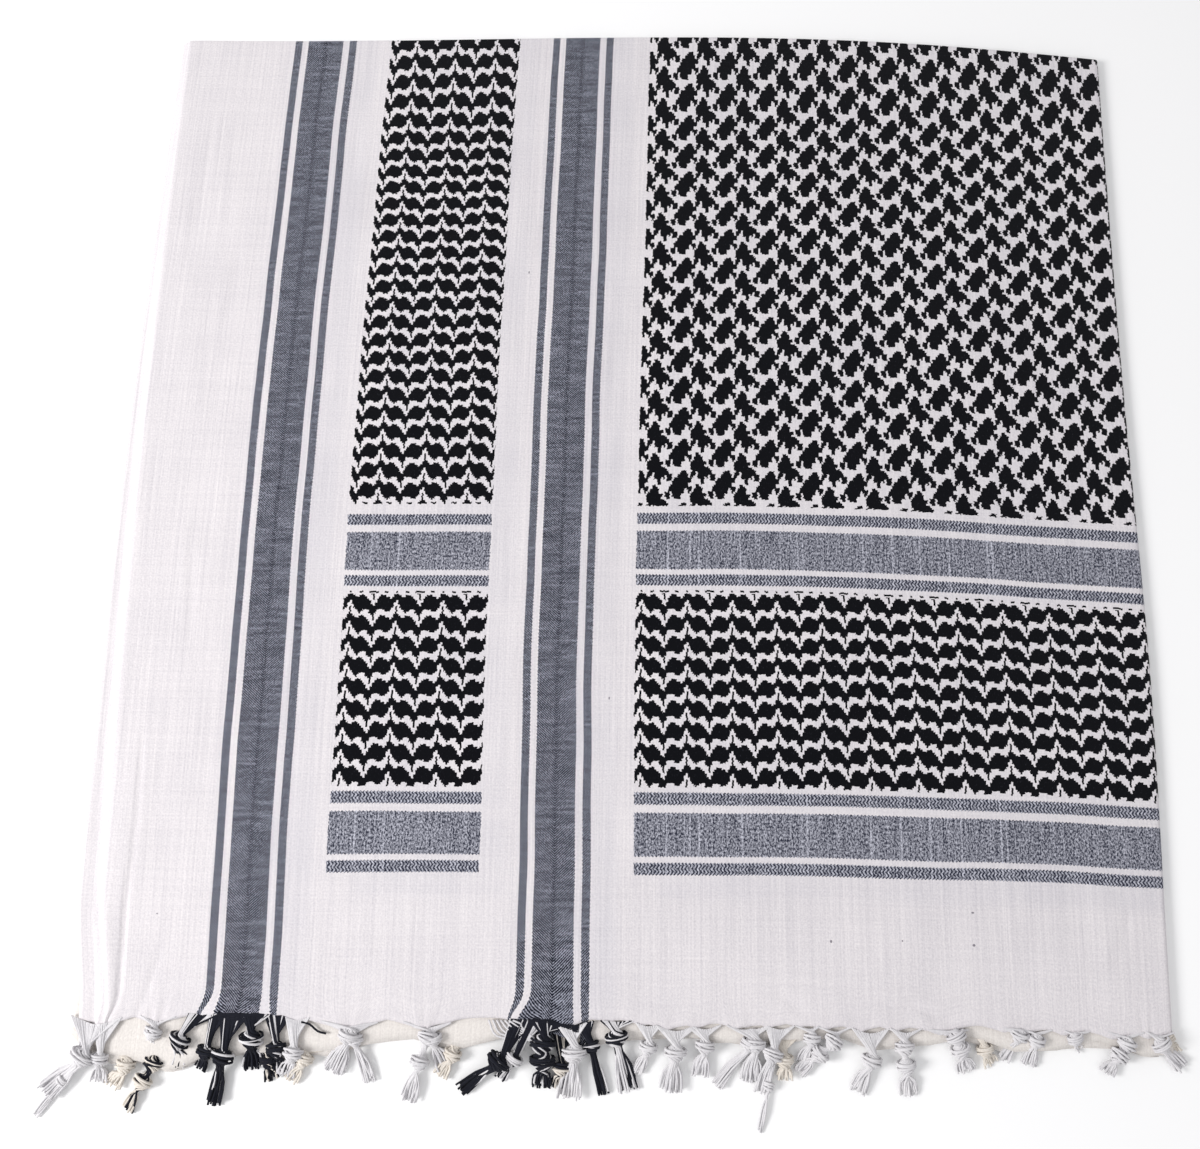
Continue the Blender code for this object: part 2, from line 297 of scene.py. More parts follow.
def front_height(u, v):
    """Height of the middle of the front layer, which drops outside the hidden layers' edge."""
    inset = step_line(v)
    lift = ease((LIFT_ENDS - v) / (LIFT_ENDS - LIFT_FULL))
    low = LOWEST_LEVEL + CLOTH + CORNER_LIFT * lift
    step = ease((u - inset + STEP_OUT) / STEP_WIDTH)
    height = low + (FRONT_LEVEL - low) * step
    fade = ease((QUARTER - u) / RELIEF_FADE) * ease((QUARTER - v) / RELIEF_FADE)
    relief = swell_relief(u, v) + crease_relief(u, v)
    relief += waves(u, v, **BROAD_WAVES) + waves(u, v, **SMALL_WAVES)
    return height + relief * (0.25 + 0.75 * fade)


# ---------------------------------------------------------------- making meshes

PIECES = {}


def grid_object(name, x, y, z, cloth_u, cloth_v, look):
    """A sheet of quads over a grid of points, with its flat place and a bake map as UV maps."""
    rows, columns = x.shape
    points = np.stack([(x + SHIFT_X) * MM, (y + SHIFT_Y) * MM, z * MM], axis=-1).reshape(-1, 3)
    index = np.arange(rows * columns).reshape(rows, columns)
    faces = np.stack(
        [index[:-1, :-1], index[:-1, 1:], index[1:, 1:], index[1:, :-1]], axis=-1
    ).reshape(-1, 4)
    mesh = bpy.data.meshes.new(name)
    mesh.from_pydata(points.tolist(), [], faces.tolist())
    corner = np.empty(len(mesh.loops), np.int32)
    mesh.loops.foreach_get("vertex_index", corner)
    flat = np.stack([cloth_u * MM, cloth_v * MM], axis=-1).reshape(-1, 2)
    column, row = np.meshgrid(np.linspace(0, 1, columns), np.linspace(0, 1, rows))
    bake = np.stack([column, row], axis=-1).reshape(-1, 2)
    for title, values in (("cloth", flat), ("OFBake", bake)):
        layer = mesh.uv_layers.new(name=title)
        layer.data.foreach_set("uv", values[corner].astype(np.float32).ravel())
    mesh.materials.append(look)
    mesh.shade_smooth()
    made = bpy.data.objects.new(name, mesh)
    bpy.context.scene.collection.objects.link(made)
    thick = made.modifiers.new("cotton", "SOLIDIFY")
    thick.thickness = CLOTH * MM
    thick.offset = 0.0
    PIECES[name] = made
    return made


def stations(low, high, fine_low, fine_high, fine, coarse):
    """Places from low to high, close together near the ends and further apart between."""
    first = np.arange(low, low + fine_low, fine)
    last = np.arange(high, high - fine_high, -fine)[::-1]
    count = max(int(round((last[0] - first[-1]) / coarse)), 1)
    between = np.linspace(first[-1], last[0], count + 1)[1:-1]
    return np.concatenate([first, between, last])


def roll(flat, start, radius):
    """A length that runs flat to start, then half a turn round a fold, then back under itself.

    Returns the place along the flat and how far it has dropped, for each length.
    """
    past = flat - start
    angle = np.clip(past / radius, 0, pi)
    back = np.clip(past - pi * radius, 0, None)
    place = np.where(past < 0, flat, start + radius * np.sin(angle) - back)
    drop = radius * (1 - np.cos(angle))
    return place, drop


NEAR_EDGE, NEAR_FOLD = 60.0, 20.0  # the mesh is fine this far from the open edges and the folds
HEM_BLEND = 34.0  # the hem's shape dies out over this height
PEEK_BLEND_U, PEEK_BLEND_V = 60.0, 62.0  # and the corner that peeks out over these


def fold_stations(places, start, radius):
    """The places on the flat, then those round the fold and tucked under it."""
    turn = start + radius * np.linspace(0, pi, FOLD_STEPS + 1)
    return np.concatenate([places[places < start - 1], turn, [turn[-1] + 3, turn[-1] + TUCK]])


def cloth_layer(name, level, look, u_range, v_range, hem, right_drop=0.0, top_drop=0.0,
                fine=4.0, coarse=20.0, height=None, tassels=(),
                mirror_u=False, mirror_v=False, peek=0.0):
    """One quarter of the scarf, rolled under at the right or at the top where it has a drop."""
    u_low, u_high = u_range
    v_low, v_high = v_range
    us = stations(u_low, u_high, NEAR_EDGE, NEAR_FOLD, fine, coarse)
    vs = stations(v_low, v_high, NEAR_EDGE, NEAR_FOLD, fine, coarse)
    right_radius, top_radius = right_drop / 2, top_drop / 2
    right_start = QUARTER - right_radius - CLOTH / 2
    top_start = QUARTER - top_radius - CLOTH / 2
    if right_drop:
        us = fold_stations(us, right_start, right_radius)
    if top_drop:
        vs = fold_stations(vs, top_start, top_radius)
    u, v = np.meshgrid(us, vs)
    place_u, drop_u = roll(u, right_start, right_radius) if right_drop else (u, 0 * u)
    place_v, drop_v = roll(v, top_start, top_radius) if top_drop else (v, 0 * v)
    flat_u, flat_v = np.minimum(place_u, QUARTER), np.minimum(place_v, QUARTER)
    pull, pucker = gathers(flat_u, flat_v, tassels)
    edge = hem(flat_u)
    near_hem = 1 - ease((flat_v - v_low) / HEM_BLEND)
    x, y = laid(place_u + pull, place_v + edge * near_hem)
    low_down = 1 - ease((flat_v - v_low) / PEEK_BLEND_V)
    near_corner = low_down * (1 - ease((flat_u - u_low) / PEEK_BLEND_U))
    x = x - peek * near_corner
    z = height(flat_u, flat_v) + pucker if height else level + 0 * u
    z = np.maximum(z - drop_u - drop_v, LOWEST_LEVEL)
    cloth_u = 2 * QUARTER - u if mirror_u else u
    cloth_v = 2 * QUARTER - v if mirror_v else v
    return grid_object(name, x, y, z, cloth_u, cloth_v, look)


# ---------------------------------------------------------------- node helper


class Graph:
    """Adds nodes to one material; every method returns the socket that carries its result."""

    def __init__(self, name):
        self.material = bpy.data.materials.new(name)
        self.material.use_nodes = True
        self.tree = self.material.node_tree
        self.shader = self.tree.nodes["Principled BSDF"]

    def node(self, kind, inputs=(), **settings):
        made = self.tree.nodes.new(kind)
        for key, value in settings.items():
            setattr(made, key, value)
        for place, value in dict(inputs).items():
            if isinstance(value, bpy.types.NodeSocket):
                self.tree.links.new(value, made.inputs[place])
            else:
                made.inputs[place].default_value = value
        return made

    def math(self, operation, *values):
        return self.node("ShaderNodeMath", enumerate(values), operation=operation).outputs[0]

    def add(self, *values):
        total = values[0]
        for value in values[1:]:
            total = self.math("ADD", total, value)
        return total

    def mul(self, *values):
        total = values[0]
        for value in values[1:]:
            total = self.math("MULTIPLY", total, value)
        return total

    def invert(self, value):
        return self.math("SUBTRACT", 1.0, value)

    def either(self, *values):
        total = values[0]
        for value in values[1:]:
            total = self.math("MAXIMUM", total, value)
        return total

    def within(self, value, low, high):
        """1 where value is between low and high, else 0."""
        return self.math("COMPARE", value, (low + high) / 2, (high - low) / 2)

    def range(self, value, low, high, to_low=0.0, to_high=1.0):
        made = self.node("ShaderNodeMapRange", {0: value, 1: low, 2: high, 3: to_low, 4: to_high})
        return made.outputs[0]

    def vector(self, x, y, z=0.0):
        return self.node("ShaderNodeCombineXYZ", {0: x, 1: y, 2: z}).outputs[0]

    def noise(self, vector, scale, detail=2.0, roughness=0.5):
        made = self.node(
            "ShaderNodeTexNoise",
            {"Vector": vector, "Scale": scale, "Detail": detail, "Roughness": roughness},
        )
        return made.outputs[0]

    def white(self, value):
        """A random number from 0 to 1 for each value."""
        made = self.node("ShaderNodeTexWhiteNoise", {1: value}, noise_dimensions="1D")
        return made.outputs[0]

    def mix(self, amount, first, second):
        made = self.node("ShaderNodeMix", data_type="RGBA")
        for place, value in ((0, amount), (6, first), (7, second)):
            if isinstance(value, bpy.types.NodeSocket):
                self.tree.links.new(value, made.inputs[place])
            elif place == 0:
                made.inputs[0].default_value = value
            else:
                made.inputs[place].default_value = (*value, 1.0)
        return made.outputs[2]

    def bump(self, height, strength, distance):
        made = self.node(
            "ShaderNodeBump", {"Height": height, "Strength": strength, "Distance": distance}
        )
        return made.outputs[0]

    def finish(self, color, normal=None, roughness=0.9, sheen=0.05):
        self.tree.links.new(color, self.shader.inputs["Base Color"])
        if normal is not None:
            self.tree.links.new(normal, self.shader.inputs["Normal"])
        self.shader.inputs["Roughness"].default_value = roughness
        self.shader.inputs["Specular IOR Level"].default_value = 0.08
        self.shader.inputs["Sheen Weight"].default_value = sheen
        self.shader.inputs["Sheen Roughness"].default_value = 0.6
        return self.material


def srgb(red, green, blue):
    """A colour given as 0 to 255 on screen, as the linear values that a shader takes."""
    return tuple(
        (c / 255 / 12.92) if c <= 10 else ((c / 255 + 0.055) / 1.055) ** 2.4
        for c in (red, green, blue)
    )


# ---------------------------------------------------------------- the woven design

# Lengthwise stripes (u) and crosswise bands (v), in mm. Bands and patterns fill the panels.
STRIPE_STARTS = (66.0, 216.2)
STRIPE_PARTS = ((0.0, 4.0), (7.5, 27.5), (31.2, 35.3))  # thin, wide, thin
STRIPE_MIDDLE = 17.5
BAND_STARTS = (65.0, 208.1)
BAND_PARTS = ((0.0, 5.6), (8.5, 29.0), (32.8, 38.6))
STRIPES = [(start + low, start + high) for start in STRIPE_STARTS for low, high in STRIPE_PARTS]
BANDS = [(start + low, start + high) for start in BAND_STARTS for low, high in BAND_PARTS]
PANEL_A = (121.6, 196.6)
PANEL_B = (273.0, 535.0)
LOW_PATTERN = (106.0, 204.0)
TOP_PATTERN = (250.4, 535.0)
TOP_PATTERN_A = 252.8  # the upper panel A starts here
REPEAT = 23.3
REPEAT_A = 24.05  # the lower narrow panel is woven a little slacker
CELL = REPEAT / 24

# One repeat of the leaf rows and of the net, 24 threads wide: # is black.
LEAF_CHART = (
    "###################..#..",
    ".###...####....###...#..",
    "..#....####..........#..",
    "........##..........###.",
    "..###....#...###....####",
    "######...#..######.#####",
    "#######..#.#############",
    "########...##########.##",
    "########..##########..##",
    "#########.##########...#",
    "####################.#.#",
)
NET_CHART = (
    "....##...###.##########.",
    "....##......###########.",
    "....##......#########...",
    ".##........##########...",
    ".###......#############.",
    "#####.....#########.###.",
    "#####.....#########..##.",
    "#####...###.#######..#.#",
    "#######.###.#####.....##",
    "#######.###.#####.....##",
    "######...##..####.....##",
    "########..............##",
    "#########.............##",
    "##########.......###...#",
    "#.########......####..##",
    "#.##########...######.##",
    "..######.###...######.##",
    "..####.#.###.##########.",
)
# The row of dashes that closes the lower leaf rows.
DASH_CHART = ("..##...#####...##....#..",)
# The weft is beaten up closer towards the top, then slacker beside the fold.
CLOSE_PICKS = (290.0, 380.0, 0.0, 3.2)  # in the narrow panel alone
CLOSER_PICKS = (380.0, 460.0, 0.0, 5.8)
WIDE_PICKS = (480.0, 535.0, 0.0, -8.0)
LEAF_PITCH = 10.95
NET_PITCH = 17.75
DASH_ROW = (204.5, 205.5)
DASH_ROW_A = (252.4, 253.4)  # in the upper panel A
LEAF_START_A = 151.8  # left side of a leaf chart in the lower panel A
LEAF_START_TOP = 139.1  # and in the upper panel A
LEAF_START_B = 278.4  # and in panel B
LEAF_LOW = 108.9
LEAF_TOP = 246.55
NET_START = 279.1
NET_LOW = 247.2
HALF_CHART = 12  # a chart row is held as two numbers of 12 threads each


def chart_bit(graph, chart, across, up, pitch):
    """1 where the chart is black. across and up are mm from the chart's lower left corner."""
    rows = len(chart)
    ramp = graph.tree.nodes.new("ShaderNodeValToRGB")
    ramp.color_ramp.interpolation = "CONSTANT"
    stops = ramp.color_ramp.elements
    while len(stops) < rows:
        stops.new(0.5)
    for number, line in enumerate(reversed(chart)):
        halves = [line[:HALF_CHART], line[HALF_CHART:]]
        values = [sum(2**k for k, c in enumerate(half) if c == "#") for half in halves]
        stops[number].position = number / rows
        stops[number].color = (values[0] / 4096, values[1] / 4096, 0.0, 1.0)
    row = graph.math("FLOOR", graph.mul(graph.math("FLOORED_MODULO", up, pitch), rows / pitch))
    graph.tree.links.new(graph.mul(graph.add(row, 0.5), 1 / rows), ramp.inputs[0])
    column = graph.math("FLOOR", graph.mul(graph.math("FLOORED_MODULO", across, REPEAT), 1 / CELL))
    right = graph.math("GREATER_THAN", column, HALF_CHART - 0.5)
    parts = graph.node("ShaderNodeSeparateColor", {0: ramp.outputs[0]})
    mask = graph.add(
        graph.mul(parts.outputs[0], graph.invert(right)), graph.mul(parts.outputs[1], right)
    )
    place = graph.math("SUBTRACT", column, graph.mul(right, HALF_CHART))
    shifted = graph.math(
        "DIVIDE", graph.add(graph.mul(mask, 4096.0), 0.5), graph.math("POWER", 2.0, place)
    )
    return graph.math("FLOORED_MODULO", graph.math("FLOOR", shifted), 2.0)


def triangle(graph, value, pitch):
    """A zigzag from 0 to 1 and back over each pitch."""
    return graph.math("PINGPONG", graph.mul(value, 2 / pitch), 1.0)


# Flecks of dark thread spun into the white yarn: place and half length across and along.
SLUBS = (
    (370, 35, 0.6, 0.8), (405, 36, 0.4, 0.5), (440, 35, 0.8, 0.7), (440, 50, 0.8, 0.5),
    (40, 45, 0.4, 0.4), (210, 385, 0.4, 0.9), (260, 150, 0.4, 0.8),
)


PANEL_SPLIT = 262.0  # between panel A and panel B
ROW_SPLIT = 249.0  # between the lower and the upper pattern
ROUND_FOLD = 9.0  # the design runs on this far round the folds
THREAD_PITCH = 0.9
TOOTH_PITCH = 1.75
WEAVE_PITCH = 0.7
WIDE_BANDS = ((72.5, 94.5), (215.5, 238.5))
FADE_LOW, FADE_HIGH = 16.0, 26.0  # heights between which the under cloth's first stripe comes in
DEEP_IN, DEEP_DOWN = 13.0, 11.0  # how far the layers below lie inside and below the front
DEEP_STRIPES = ((65, 101), (215, 251))
DEEP_ROWS = ((65, 103), LOW_PATTERN, (208, 560))
DEEP_PANELS = (PANEL_A, (PANEL_B[0], 560.0))


def clamped(graph, value):
    return graph.math("MINIMUM", graph.math("MAXIMUM", value, 0.0), 1.0)


def folded(graph, value):
    """The design mirrors about a fold."""
    return graph.math("SUBTRACT", QUARTER, graph.math("ABSOLUTE", graph.add(value, -QUARTER)))


def thread_places(graph):
    """Where a point lies in the cloth: raw, and as the wandering threads put it."""
    uv = graph.node("ShaderNodeUVMap", uv_map="cloth").outputs[0]
    split = graph.node("ShaderNodeSeparateXYZ", {0: uv})
    raw_u = graph.mul(split.outputs[0], 1000.0)
    raw_v = graph.mul(split.outputs[1], 1000.0)
    place = graph.vector(raw_u, raw_v)
    wander = graph.node(
        "ShaderNodeTexNoise", {"Vector": place, "Scale": 0.009, "Detail": 2.0}
    ).outputs[1]
    wander = graph.node("ShaderNodeSeparateColor", {0: wander})
    shift_u = graph.range(wander.outputs[0], 0.25, 0.75, -0.8, 0.8)
    shift_v = graph.range(wander.outputs[1], 0.25, 0.75, -0.8, 0.8)
    pick = graph.math("FLOOR", graph.mul(raw_v, 1 / THREAD_PITCH))
    end = graph.math("FLOOR", graph.mul(raw_u, 1 / THREAD_PITCH))
    jitter_u = graph.range(graph.white(pick), 0.0, 1.0, -0.28, 0.28)
    jitter_v = graph.range(graph.white(graph.add(end, 0.37)), 0.0, 1.0, -0.28, 0.28)
    straight_u = graph.add(folded(graph, raw_u), shift_u)
    straight_v = graph.add(folded(graph, raw_v), shift_v)
    return {
        "raw_u": raw_u, "raw_v": raw_v, "place": place, "end": end,
        "straight_u": straight_u, "straight_v": straight_v,
        "u": graph.add(straight_u, jitter_u), "v": graph.add(straight_v, jitter_v),
    }


def stripe_mask(graph, at, hem_fade):
    """1 in the lengthwise stripes."""
    tooth = graph.range(triangle(graph, at["raw_v"], TOOTH_PITCH), 0.0, 1.0, -0.25, 0.25)
    toothed = graph.add(at["straight_u"], tooth)
    stripes = graph.either(*[graph.within(toothed, low, high) for low, high in STRIPES])
    if hem_fade:
        low_down = graph.range(at["v"], FADE_LOW, FADE_HIGH, 1.0, 0.0)
        near_hem = graph.mul(low_down, graph.range(at["u"], 140, 160, 1.0, 0.0))
        stripes = graph.mul(stripes, graph.invert(near_hem))
    return stripes


def panel_mask(graph, at):
    far_side = graph.within(at["u"], PANEL_B[0], PANEL_B[1] + ROUND_FOLD)
    return graph.either(graph.within(at["u"], *PANEL_A), far_side)


def band_mask(graph, at, panels):
    """1 in the crosswise bands, which fill the panels."""
    tooth = graph.range(triangle(graph, at["raw_u"], TOOTH_PITCH), 0.0, 1.0, -0.35, 0.35)
    toothed = graph.add(at["straight_v"], tooth)
    bands = graph.either(*[graph.within(toothed, low, high) for low, high in BANDS])
    return graph.mul(bands, panels)


def figure_mask(graph, at, panels):
    """1 where the figured patterns float black weft: leaf rows, net and dashes."""
    u, v = at["u"], at["v"]
    in_b = graph.math("GREATER_THAN", u, PANEL_SPLIT)
    in_top = graph.math("GREATER_THAN", v, ROW_SPLIT)
    start_a = graph.range(in_top, 0.0, 1.0, LEAF_START_A, LEAF_START_TOP)
    slack = graph.range(in_top, 0.0, 1.0, REPEAT / REPEAT_A, 1.0)
    across_a = graph.mul(graph.math("SUBTRACT", u, start_a), slack)
    across_b = graph.add(u, -LEAF_START_B)
    leaf_across = graph.add(graph.mul(across_a, graph.invert(in_b)), graph.mul(across_b, in_b))
    leaf_base = graph.add(LEAF_LOW, graph.mul(in_top, LEAF_TOP - LEAF_LOW))
    slack_v = graph.add(v, graph.range(v, *WIDE_PICKS))
    beaten_v = graph.add(slack_v, graph.range(v, *CLOSE_PICKS), graph.range(v, *CLOSER_PICKS))
    leaf_up = graph.math("SUBTRACT", beaten_v, leaf_base)
    leaf = chart_bit(graph, LEAF_CHART, leaf_across, leaf_up, LEAF_PITCH)
    net_across = graph.add(u, -NET_START)
    net = chart_bit(graph, NET_CHART, net_across, graph.add(slack_v, -NET_LOW), NET_PITCH)
    dash_across = graph.add(leaf_across, graph.mul(in_top, REPEAT / 2))
    dashes = chart_bit(graph, DASH_CHART, dash_across, v, 1.0)
    use_net = graph.mul(in_b, in_top)
    figure = graph.add(graph.mul(net, use_net), graph.mul(leaf, graph.invert(use_net)))
    rows = graph.either(
        graph.within(v, *LOW_PATTERN), graph.within(v, TOP_PATTERN[0], TOP_PATTERN[1] + ROUND_FOLD)
    )
    hidden = graph.mul(graph.invert(in_b), graph.within(v, TOP_PATTERN[0] - 1, TOP_PATTERN_A))
    figure = graph.mul(figure, rows, graph.invert(hidden))
    dash_rows = graph.either(
        graph.within(v, *DASH_ROW), graph.mul(graph.invert(in_b), graph.within(v, *DASH_ROW_A))
    )
    return graph.mul(graph.either(figure, graph.mul(dashes, dash_rows)), panels)


def yarn_lines(graph, at):
    """Thicker and thinner yarns along both ways."""
    along = graph.vector(graph.mul(at["raw_u"], 1.0), graph.mul(at["raw_v"], 0.012))
    across = graph.vector(graph.mul(at["raw_u"], 0.012), graph.mul(at["raw_v"], 1.0))
    return graph.noise(along, 0.85, 3.0, 0.7), graph.noise(across, 0.8, 3.0, 0.7)


def plain_cloth(graph, at, white, shade, warp_lines, weft_lines):
    """The white ground, with its density lines and fine grain."""
    tone = graph.add(
        graph.mul(graph.add(warp_lines, -0.5), 1.0),
        graph.mul(graph.add(weft_lines, -0.5), 0.4),
        graph.mul(graph.add(graph.noise(at["place"], 1.1, 2.0, 0.6), -0.5), 1.0),
        graph.mul(graph.add(graph.noise(at["place"], 0.03, 2.0, 0.5), -0.5), 0.3),
        0.42,
    )
    return graph.mix(clamped(graph, tone), white, shade)


def shown_through(graph, at, ground, amount):
    """What the layers below show through the white, blurred."""

    def soft(value, low, high, blur=3.0):
        rise = graph.range(value, low - blur, low + blur)
        fall = graph.range(value, high - blur, high + blur, 1.0, 0.0)
        return graph.mul(rise, fall)

    deep_u = graph.add(at["straight_u"], -DEEP_IN)
    deep_v = graph.add(at["straight_v"], DEEP_DOWN)
    deep_stripes = graph.either(*[soft(deep_u, *ends) for ends in DEEP_STRIPES])
    deep_panels = graph.either(*[soft(deep_u, *ends) for ends in DEEP_PANELS])
    deep_rows = graph.either(*[soft(deep_v, *ends) for ends in DEEP_ROWS])
    deep = graph.either(deep_stripes, graph.mul(deep_rows, deep_panels, 0.8))
    patchy = graph.range(graph.noise(at["place"], 0.02, 2.0), 0.35, 0.65, 0.4, 1.0)
    return graph.mix(graph.mul(deep, patchy, amount), ground, srgb(165, 168, 184))


def stripe_look(graph, at):
    """Blue-grey of the stripes: black warp crossed by white weft in a broken twill."""
    spacing = STRIPE_STARTS[1] - STRIPE_STARTS[0]
    first = graph.add(at["straight_u"], -STRIPE_STARTS[0])
    from_start = graph.math("FLOORED_MODULO", first, spacing)
    from_middle = graph.math("ABSOLUTE", graph.add(from_start, -STRIPE_MIDDLE))
    slant = graph.math("FLOORED_MODULO", graph.add(at["raw_v"], graph.mul(from_middle, -0.9)), 1.2)
    twill = graph.math("LESS_THAN", slant, 0.45)
    spine = graph.range(from_middle, 0.0, 1.6, 0.22, 0.0)
    speck_place = graph.vector(graph.mul(at["raw_u"], 1.3), graph.mul(at["raw_v"], 0.8))
    patch_place = graph.vector(graph.mul(at["raw_u"], 0.06), graph.mul(at["raw_v"], 0.45))
    tone = graph.add(
        graph.mul(twill, 0.72),
        graph.mul(graph.add(graph.noise(speck_place, 1.0, 2.0, 0.7), -0.5), 2.6),
        graph.mul(graph.add(graph.noise(patch_place, 1.0, 3.0, 0.6), -0.5), 1.3),
        graph.mul(spine, -1.0),
    )
    return graph.mix(clamped(graph, tone), srgb(14, 17, 30), srgb(172, 175, 190)), twill


def band_look(graph, at):
    """The bands: black weft crossed by white warp, tweedy, with a few pale streaks."""
    raw_u, raw_v = at["raw_u"], at["raw_v"]
    streak = graph.noise(graph.vector(raw_u, graph.mul(raw_v, 0.05)), 0.8, 3.0, 0.75)
    light_end = graph.math("GREATER_THAN", graph.white(graph.add(at["end"], 0.11)), 0.965)
    speck = graph.noise(graph.vector(raw_u, graph.mul(raw_v, 0.6)), 1.3, 2.0, 0.8)
    bend = graph.math("PINGPONG", raw_v, 1.5)
    slanted = graph.math("FLOORED_MODULO", graph.add(raw_u, graph.mul(bend, 0.8)), TOOTH_PITCH)
    hatch = graph.math("LESS_THAN", slanted, 0.85)
    thin_band = graph.invert(graph.either(*[graph.within(at["v"], *ends) for ends in WIDE_BANDS]))
    tone = graph.add(
        graph.mul(graph.add(streak, -0.5), 1.1),
        graph.mul(graph.add(speck, -0.5), 3.2),
        graph.mul(light_end, 0.25),
        graph.mul(graph.mul(hatch, thin_band), -0.6),
        graph.mul(thin_band, 0.22),
        0.31,
    )
    return graph.mix(clamped(graph, tone), srgb(30, 34, 52), srgb(206, 207, 219))


def float_look(graph, at, black):
    """Black floats, with the odd pale warp thread between them."""
    place = graph.vector(graph.mul(at["raw_u"], 1.6), graph.mul(at["raw_v"], 0.7))
    fleck = graph.range(graph.noise(place, 1.0, 2.0, 0.7), 0.62, 0.8)
    return graph.mix(graph.mul(fleck, 0.3), black, srgb(90, 92, 104))


def slub_mask(graph, at):
    """1 in the flecks of dark thread."""
    dark = 0.0
    for slub_u, slub_v, half_u, half_v in SLUBS:
        across = graph.mul(graph.add(at["raw_u"], -slub_u), 1 / half_u)
        along = graph.mul(graph.add(at["raw_v"], -slub_v), 1 / half_v)
        near = graph.add(graph.mul(across, across), graph.mul(along, along))
        dark = graph.either(dark, graph.range(near, 0.5, 1.1, 0.75, 0.0))
    return dark


def cotton(name, white, shade, black, see_through, slubs, hem_fade=False):
    """The woven cloth. see_through is how much the layers below darken it.

    hem_fade leaves the first stripe's yarn white at the hem, as it shows below the front's hem.
    """
    graph = Graph(name)
    at = thread_places(graph)
    stripes = stripe_mask(graph, at, hem_fade)
    panels = panel_mask(graph, at)
    bands = band_mask(graph, at, panels)
    figure = figure_mask(graph, at, panels)
    warp_lines, weft_lines = yarn_lines(graph, at)
    color = plain_cloth(graph, at, white, shade, warp_lines, weft_lines)
    if see_through:
        color = shown_through(graph, at, color, see_through)
    stripe_color, twill = stripe_look(graph, at)
    color = graph.mix(bands, color, band_look(graph, at))
    color = graph.mix(stripes, color, stripe_color)
    color = graph.mix(figure, color, float_look(graph, at, black))
    if slubs:
        color = graph.mix(slub_mask(graph, at), color, srgb(84, 78, 92))

    # Relief: the plain weave, slubby yarn, and floats that stand a little proud.
    warp = graph.math("SINE", graph.mul(at["raw_u"], 2 * pi / WEAVE_PITCH))
    weft = graph.math("SINE", graph.mul(at["raw_v"], 2 * pi / WEAVE_PITCH))
    height = graph.add(
        graph.mul(graph.mul(warp, weft), 0.05),
        graph.mul(warp_lines, 0.10),
        graph.mul(weft_lines, 0.10),
        graph.mul(graph.noise(at["place"], 0.35, 3.0, 0.6), 0.35),
        graph.mul(figure, 0.10),
        graph.mul(graph.mul(stripes, twill), 0.06),
    )
    return graph.finish(color, graph.bump(height, 0.6, 0.0012))


def thread(name, base, dark):
    """Cotton yarn: mottled in colour and in bump."""
    graph = Graph(name)
    place = graph.node("ShaderNodeTexCoord").outputs["Object"]
    mottled = graph.noise(place, 900.0, 2.0, 0.6)
    soft = graph.noise(place, 120.0, 2.0, 0.5)
    tone = graph.add(graph.mul(mottled, 0.6), graph.mul(soft, 0.6), -0.15)
    color = graph.mix(graph.math("MINIMUM", graph.math("MAXIMUM", tone, 0.0), 1.0), base, dark)
    return graph.finish(color, graph.bump(mottled, 0.5, 0.0003), roughness=0.95, sheen=0.05)


# ---------------------------------------------------------------- the fringe

THREAD = 0.5  # radius of a yarn
THREADS = 15  # yarns in a tassel of size 1
KNOT_LENGTH = 6.5
KNOT_RADIUS = 3.5
KNOT_TURNS = 0.8
KNOT_STEPS = 6
KNOT_FLAT = 0.62  # a knot is this much flatter than it is wide

strands = {}


def strand(look, points, radius=THREAD):
    """Keeps one yarn for its colour's mesh, lifted where it would dip under the surface."""
    lifted = [Vector((p[0], p[1], max(p[2], radius))) for p in points]
    strands.setdefault(look, []).append((lifted, radius))


def hem_height(x):
    """Height of the front's edge at the hem."""
    return float(front_height(np.array([[x]]), np.array([[0.0]]))[0, 0])


def smooth_path(points, per_span):
    """A rounded path through points, by Catmull-Rom."""
    points = [Vector(p) for p in points]
    ends = [2 * points[0] - points[1]] + points + [2 * points[-1] - points[-2]]
    path = []
    for i in range(1, len(ends) - 2):
        a, b, c, d = ends[i - 1:i + 3]
        for step in range(per_span):
            t = step / per_span
            path.append(
                0.5 * (2 * b + (c - a) * t + (2 * a - 5 * b + 4 * c - d) * t * t
                       + (3 * b - a - 3 * c + d) * t**3)
            )
    path.append(points[-1])
    return path


def thread_look(look, rng):
    """The colour of the next thread of a tassel."""
    if look == "mixed":
        return "black" if rng.random() < 0.5 else "white"
    if look == "black":
        return "white" if rng.random() < 0.18 else "black"
    return "white"


def knot_turn(centre, before, after, phase, turns, bulge, length):
    """The points of one thread as it winds through a knot."""
    axis = (after - before).normalized()
    side = axis.cross(Vector((0, 0, 1))).normalized()
    up = side.cross(axis)
    points = []
    for step in range(KNOT_STEPS + 1):
        t = step / KNOT_STEPS
        angle = phase + 2 * pi * turns * t
        out = bulge * (0.35 + 0.65 * sin(pi * t) ** 0.7)
        offset = side * cos(angle) * out + up * sin(angle) * out * KNOT_FLAT
        points.append(centre + axis * (t - 0.5) * length + offset)
    return points


